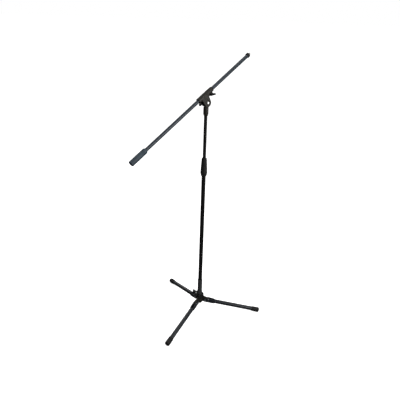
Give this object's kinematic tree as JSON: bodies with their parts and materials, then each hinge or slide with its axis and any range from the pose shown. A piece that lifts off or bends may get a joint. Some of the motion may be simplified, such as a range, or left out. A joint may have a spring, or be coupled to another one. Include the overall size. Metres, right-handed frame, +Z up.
{
  "type": "boom microphone stand",
  "caption": "Boom microphone stand with folding tripod legs, telescopic mast, tilting and sliding boom with counterweight, clutch grip and wing knobs.",
  "frame": {"origin": "on the floor, on the axis of the mast", "axes": "+Z up along the mast; +X along the first leg; the boom points up towards 38 degrees from +X"},
  "size_m": [0.668, 0.5902, 1.3727],
  "materials": {
    "cast_metal": "satin black paint on die-cast metal",
    "black_plastic": "fine-textured black plastic",
    "white_nylon": "natural nylon",
    "zinc_steel": "zinc-plated steel",
    "brass": "plain brass",
    "chrome": "bright plated steel",
    "boom_paint": "satin black powder coat with blue-grey reflections",
    "mast_paint": "satin black powder coat",
    "leg_paint": "satin black powder coat",
    "rubber": "matt black rubber"
  },
  "bodies": {
    "base": {"mast_lower_tube": "mast_paint", "base_hub": "cast_metal", "hub_bottom_cap": "black_plastic", "leg_1_hub_pin": "zinc_steel", "leg_2_hub_pin": "zinc_steel", "leg_3_hub_pin": "zinc_steel", "height_clutch_body": "black_plastic", "height_clutch_collet": "white_nylon"},
    "collar": {"base_collar": "cast_metal", "collar_lug_ring": "black_plastic", "collar_lock_pad": "brass"},
    "lock_knob": {"collar_lock_screw": "zinc_steel", "collar_lock_knob": "black_plastic"},
    "leg_1": {"leg_1_tube": "leg_paint", "leg_1_bracket": "cast_metal", "leg_1_foot": "rubber", "leg_1_strut_pin": "zinc_steel"},
    "strut_1": {"leg_1_strut": "cast_metal"},
    "leg_2": {"leg_2_tube": "leg_paint", "leg_2_bracket": "cast_metal", "leg_2_foot": "rubber", "leg_2_strut_pin": "zinc_steel"},
    "strut_2": {"leg_2_strut": "cast_metal"},
    "leg_3": {"leg_3_tube": "leg_paint", "leg_3_bracket": "cast_metal", "leg_3_foot": "rubber", "leg_3_strut_pin": "zinc_steel"},
    "strut_3": {"leg_3_strut": "cast_metal"},
    "grip": {"height_clutch_grip": "rubber"},
    "bush": {"mast_guide_bush": "white_nylon"},
    "mast_top": {"mast_upper_tube": "mast_paint", "mast_thread_stud": "zinc_steel", "swivel_post": "cast_metal"},
    "clamp": {"boom_clamp_body": "cast_metal", "tilt_bolt": "chrome", "tilt_washer_far": "white_nylon", "tilt_washer_near": "white_nylon", "boom_clamp_pad": "brass"},
    "tilt_knob": {"tilt_knob": "black_plastic"},
    "clamp_knob": {"boom_clamp_screw": "zinc_steel", "boom_clamp_knob": "black_plastic"},
    "boom_bush": {"boom_clamp_bush": "black_plastic"},
    "boom": {"boom_tube": "boom_paint", "boom_tail_plug": "black_plastic", "boom_tip_cap": "black_plastic", "boom_tip_stud": "chrome", "counterweight_core": "zinc_steel", "counterweight_sleeve": "rubber"}
  },
  "joints": [
    {"name": "collar_slide", "type": "slide", "parent": "base", "child": "collar", "axis": [0, 0, 1], "range_m": [0, 0.03265]},
    {"name": "collar_lock_turn", "type": "hinge", "parent": "collar", "child": "lock_knob", "pos_m": [-0.02, 0, 0.129], "axis": [-1, 0, 0], "range_deg": [-90, 360]},
    {"name": "leg_1_fold", "type": "hinge", "parent": "base", "child": "leg_1", "pos_m": [0.03, 0, 0.078], "axis": [0, -1, 0], "range_deg": [0, 96.3]},
    {"name": "strut_1_turn", "type": "hinge", "parent": "leg_1", "child": "strut_1", "pos_m": [0.04929, 0, 0.08198], "axis": [0, -1, 0], "range_deg": [-150.16, 0]},
    {"name": "leg_2_fold", "type": "hinge", "parent": "base", "child": "leg_2", "pos_m": [-0.015, 0.02598, 0.078], "axis": [0.866, 0.5, 0], "range_deg": [0, 96.3]},
    {"name": "strut_2_turn", "type": "hinge", "parent": "leg_2", "child": "strut_2", "pos_m": [-0.02465, 0.04269, 0.08198], "axis": [0.866, 0.5, 0], "range_deg": [-150.16, 0]},
    {"name": "leg_3_fold", "type": "hinge", "parent": "base", "child": "leg_3", "pos_m": [-0.015, -0.02598, 0.078], "axis": [-0.866, 0.5, 0], "range_deg": [0, 96.3]},
    {"name": "strut_3_turn", "type": "hinge", "parent": "leg_3", "child": "strut_3", "pos_m": [-0.02465, -0.04269, 0.08198], "axis": [-0.866, 0.5, 0], "range_deg": [-150.16, 0]},
    {"name": "grip_turn", "type": "hinge", "parent": "base", "child": "grip", "pos_m": [0, 0, 0.85], "axis": [0, 0, 1], "range_deg": [-60, 360]},
    {"name": "mast_extend", "type": "slide", "parent": "base", "child": "bush", "axis": [0, 0, 1], "range_m": [-0.2, 0.33]},
    {"name": "mast_turn", "type": "hinge", "parent": "bush", "child": "mast_top", "pos_m": [0, 0, 0.9], "axis": [0, 0, 1], "continuous": true},
    {"name": "boom_tilt", "type": "hinge", "parent": "mast_top", "child": "clamp", "pos_m": [0, 0, 1.158], "axis": [0.6157, -0.788, 0], "range_deg": [-50, 57]},
    {"name": "tilt_knob_turn", "type": "hinge", "parent": "clamp", "child": "tilt_knob", "pos_m": [0, 0, 1.158], "axis": [-0.6157, 0.788, 0], "range_deg": [-90, 360]},
    {"name": "clamp_knob_turn", "type": "hinge", "parent": "clamp", "child": "clamp_knob", "pos_m": [0.02449, 0.01914, 1.19469], "axis": [0.4269, 0.3335, -0.8406], "range_deg": [-90, 360]},
    {"name": "boom_spin", "type": "hinge", "parent": "clamp", "child": "boom_bush", "pos_m": [-0.01451, -0.01134, 1.18658], "axis": [0.6624, 0.5175, 0.5417], "continuous": true},
    {"name": "boom_slide", "type": "slide", "parent": "boom_bush", "child": "boom", "axis": [0.6624, 0.5175, 0.5417], "range_m": [-0.25, 0.33]}
  ],
  "couplings": [
    {"joint": "leg_1_fold", "follows": "collar_slide", "rad_per_m": 51.478},
    {"joint": "strut_1_turn", "follows": "collar_slide", "rad_per_m": -80.272},
    {"joint": "leg_2_fold", "follows": "collar_slide", "rad_per_m": 51.478},
    {"joint": "strut_2_turn", "follows": "collar_slide", "rad_per_m": -80.272},
    {"joint": "leg_3_fold", "follows": "collar_slide", "rad_per_m": 51.478},
    {"joint": "strut_3_turn", "follows": "collar_slide", "rad_per_m": -80.272}
  ]
}
